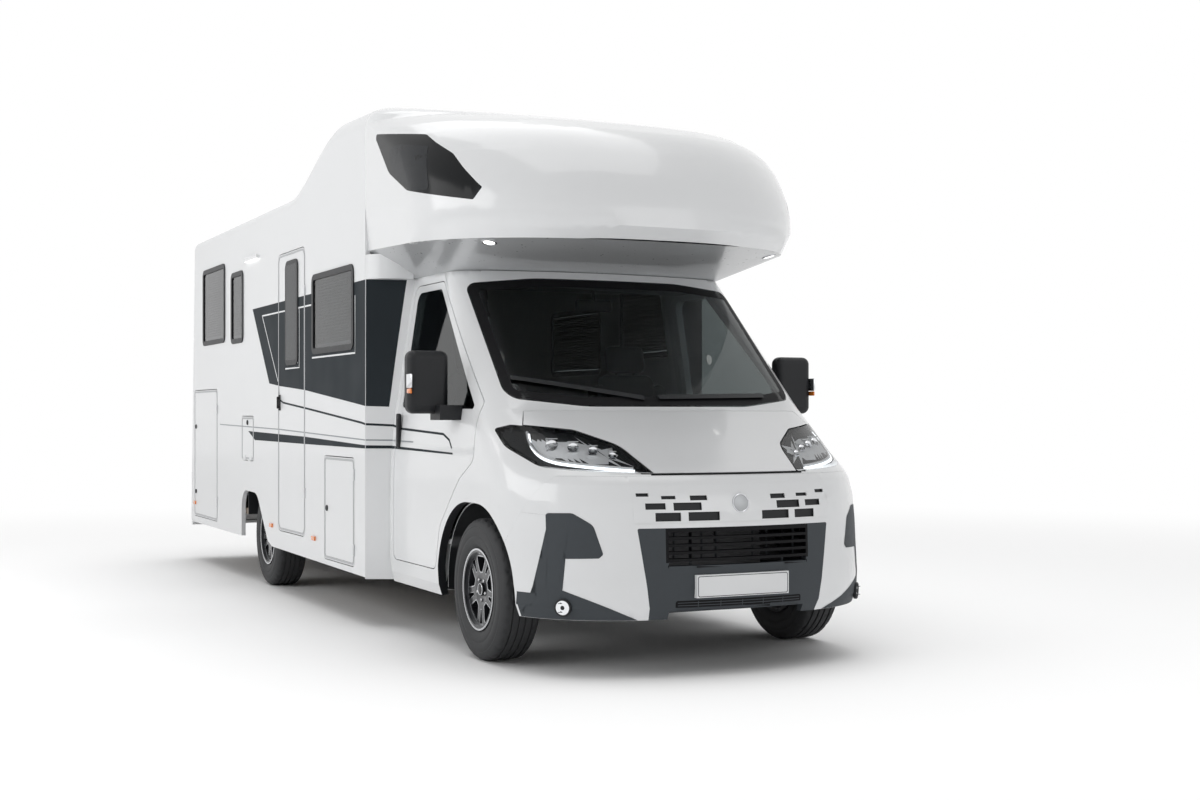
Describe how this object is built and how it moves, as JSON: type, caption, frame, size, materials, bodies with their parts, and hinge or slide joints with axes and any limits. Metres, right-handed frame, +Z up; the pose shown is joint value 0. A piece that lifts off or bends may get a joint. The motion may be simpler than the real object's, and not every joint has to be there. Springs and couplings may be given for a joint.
{
  "type": "motorhome",
  "caption": "Low-line coachbuilt motorhome with a bed over the cab, white walls with graphite stripes, twin-spoke alloy wheels and blind-fitted windows.",
  "frame": {"origin": "on the ground under the middle of the outer box", "axes": "+X towards the cab's nose, +Y to the vehicle's left, +Z up"},
  "size_m": [7.517, 2.524, 3.1049],
  "materials": {
    "body_white": "gloss",
    "graphite_plastic": "matte",
    "silver_grey": "gloss",
    "tyre_rubber": "matte",
    "alloy": "satin",
    "dark_steel": "matte",
    "cast_metal": "matte",
    "clear_glass": "clear",
    "lamp_lens": "clear",
    "red_lens": "gloss",
    "amber_lens": "gloss",
    "blind_fabric": "matte",
    "seat_fabric": "matte",
    "interior_board": "matte"
  },
  "bodies": {
    "coach": {"side_wall_right": "body_white", "side_wall_left": "body_white", "rear_wall": "body_white", "floor_panel": "interior_board", "roof_panel": "body_white", "roof_skylights": "clear_glass", "window_frames": "graphite_plastic", "window_panes": "clear_glass", "window_blinds": "blind_fabric", "cab_shell": "body_white", "windscreen": "clear_glass", "cab_fenders": "body_white", "headlamps": "lamp_lens", "front_bumper": "body_white", "bumper_cladding": "graphite_plastic", "grille": "graphite_plastic", "overcab_shell": "body_white", "overcab_windows": "graphite_plastic", "overcab_soffit": "silver_grey", "front_corner_panels": "body_white", "chassis_frame": "dark_steel", "front_subframe": "dark_steel", "front_struts": "dark_steel", "rear_axle": "dark_steel", "underfloor_tanks": "dark_steel", "engine_block": "cast_metal", "exhaust": "cast_metal", "wheel_housings": "graphite_plastic", "rear_bumper": "body_white", "number_plates": "body_white", "rear_lamps": "red_lens", "side_lamps": "amber_lens", "wipers": "graphite_plastic", "dashboard": "graphite_plastic", "cab_seats": "seat_fabric"},
    "cab_door_right": {"cab_door_right": "body_white", "cab_door_glass_right": "clear_glass", "mirror_right": "graphite_plastic"},
    "cab_door_left": {"cab_door_left": "body_white", "cab_door_glass_left": "clear_glass", "mirror_left": "graphite_plastic"},
    "bonnet": {"bonnet": "body_white"},
    "entrance_door": {"entrance_door": "body_white", "entrance_door_window": "graphite_plastic"},
    "garage_hatch": {"garage_hatch": "body_white"},
    "service_hatch": {"service_hatch": "body_white"},
    "service_flap": {"service_flap": "body_white"},
    "knuckle_right": {"knuckle_right": "cast_metal"},
    "knuckle_left": {"knuckle_left": "cast_metal"},
    "wheel_front_right": {"tyre_front_right": "tyre_rubber", "rim_front_right": "alloy"},
    "wheel_front_left": {"tyre_front_left": "tyre_rubber", "rim_front_left": "alloy"},
    "wheel_rear_right": {"tyre_rear_right": "tyre_rubber", "rim_rear_right": "alloy"},
    "wheel_rear_left": {"tyre_rear_left": "tyre_rubber", "rim_rear_left": "alloy"}
  },
  "joints": [
    {"name": "steer_right", "type": "hinge", "parent": "coach", "child": "knuckle_right", "pos_m": [2.78, -0.76, 0.366], "axis": [0, 0, 1], "range_deg": [-35, 35]},
    {"name": "steer_left", "type": "hinge", "parent": "coach", "child": "knuckle_left", "pos_m": [2.78, 0.76, 0.366], "axis": [0, 0, 1], "range_deg": [-35, 35]},
    {"name": "wheel_front_right_spin", "type": "hinge", "parent": "knuckle_right", "child": "wheel_front_right", "pos_m": [2.78, -0.9, 0.366], "axis": [0, 1, 0], "continuous": true},
    {"name": "wheel_front_left_spin", "type": "hinge", "parent": "knuckle_left", "child": "wheel_front_left", "pos_m": [2.78, 0.9, 0.366], "axis": [0, 1, 0], "continuous": true},
    {"name": "wheel_rear_right_spin", "type": "hinge", "parent": "coach", "child": "wheel_rear_right", "pos_m": [-1.255, -0.98, 0.366], "axis": [0, 1, 0], "continuous": true},
    {"name": "wheel_rear_left_spin", "type": "hinge", "parent": "coach", "child": "wheel_rear_left", "pos_m": [-1.255, 0.98, 0.366], "axis": [0, 1, 0], "continuous": true},
    {"name": "cab_door_right_hinge", "type": "hinge", "parent": "coach", "child": "cab_door_right", "pos_m": [2.7425, -1.012, 1.076], "axis": [0, 0, 1], "range_deg": [0, 65]},
    {"name": "cab_door_left_hinge", "type": "hinge", "parent": "coach", "child": "cab_door_left", "pos_m": [2.7425, 1.012, 1.076], "axis": [0, 0, -1], "range_deg": [0, 65]},
    {"name": "bonnet_hinge", "type": "hinge", "parent": "coach", "child": "bonnet", "pos_m": [2.84, 0, 1.33], "axis": [0, -1, 0], "range_deg": [0, 55]},
    {"name": "entrance_door_hinge", "type": "hinge", "parent": "coach", "child": "entrance_door", "pos_m": [0.018, -1.1563, 1.42], "axis": [0, 0, 1], "range_deg": [0, 110]},
    {"name": "garage_hatch_hinge", "type": "hinge", "parent": "coach", "child": "garage_hatch", "pos_m": [-2.647, -1.1563, 0.93], "axis": [0, 0, 1], "range_deg": [0, 110]},
    {"name": "service_hatch_hinge", "type": "hinge", "parent": "coach", "child": "service_hatch", "pos_m": [1.123, -1.1563, 0.67], "axis": [0, 0, 1], "range_deg": [0, 110]},
    {"name": "service_flap_hinge", "type": "hinge", "parent": "coach", "child": "service_flap", "pos_m": [-1.6, -1.1563, 0.917], "axis": [1, 0, 0], "range_deg": [0, 90]}
  ],
  "couplings": [
    {"joint": "steer_left", "follows": "steer_right", "ratio": 1}
  ]
}
